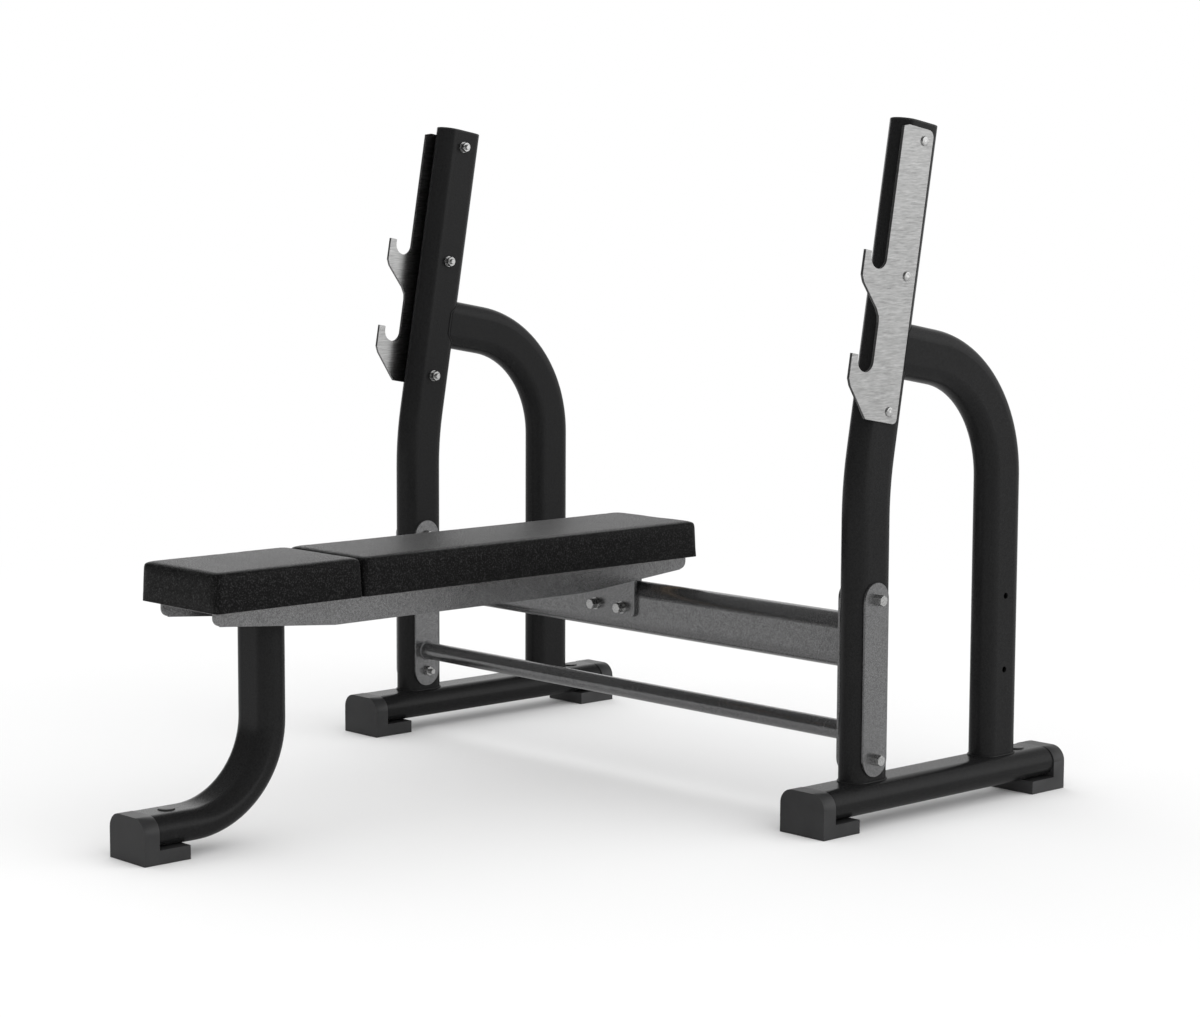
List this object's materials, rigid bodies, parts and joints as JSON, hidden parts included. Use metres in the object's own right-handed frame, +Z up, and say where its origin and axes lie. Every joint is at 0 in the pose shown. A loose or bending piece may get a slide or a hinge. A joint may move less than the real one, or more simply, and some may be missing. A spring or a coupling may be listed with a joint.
{
  "type": "olympic bench press",
  "caption": "Flat bench press station: padded bench on a front leg between leaning uprights with two bar rest heights on hook plates.",
  "frame": {"origin": "on the floor at the middle of the overall footprint", "axes": "+Z up, +Y along the bench from the foot end to the head end, +X across, to the left of a lifter lying head at +Y"},
  "size_m": [1.214, 1.51, 1.1339],
  "materials": {
    "black_paint": "satin powder coat",
    "grey_paint": "satin powder coat",
    "bare_steel": "brushed across the plate",
    "zinc": "bright zinc plating",
    "foot_rubber": "matt moulded rubber",
    "black_plastic": "fine moulded grain",
    "vinyl": "grained upholstery vinyl",
    "plywood": "raw plywood"
  },
  "bodies": {
    "root": {"left_base_tube": "black_paint", "right_base_tube": "black_paint", "left_upright": "black_paint", "right_upright": "black_paint", "left_rear_post": "black_paint", "right_rear_post": "black_paint", "leg_tube": "black_paint", "upright_caps": "black_plastic", "left_hook_plate": "bare_steel", "right_hook_plate": "bare_steel", "hook_bolts": "zinc", "hook_washers": "zinc", "hook_nuts": "zinc", "flange_bolts": "zinc", "flange_nuts": "zinc", "hanger_bolts": "zinc", "hanger_nuts": "zinc", "leg_screws": "zinc", "leg_nuts": "zinc", "foot_screws": "zinc", "board_screws": "zinc", "cross_beam": "grey_paint", "tie_bar": "grey_paint", "inner_flanges": "grey_paint", "outer_flanges": "grey_paint", "bench_channel": "grey_paint", "beam_hanger": "grey_paint", "beam_saddle": "grey_paint", "leg_plate": "grey_paint", "foot_leg": "foot_rubber", "foot_left_front": "foot_rubber", "foot_left_rear": "foot_rubber", "foot_right_front": "foot_rubber", "foot_right_rear": "foot_rubber", "tube_plugs": "black_plastic", "seat_cushion": "vinyl", "back_cushion": "vinyl", "seat_board": "plywood", "back_board": "plywood"}
  },
  "joints": []
}
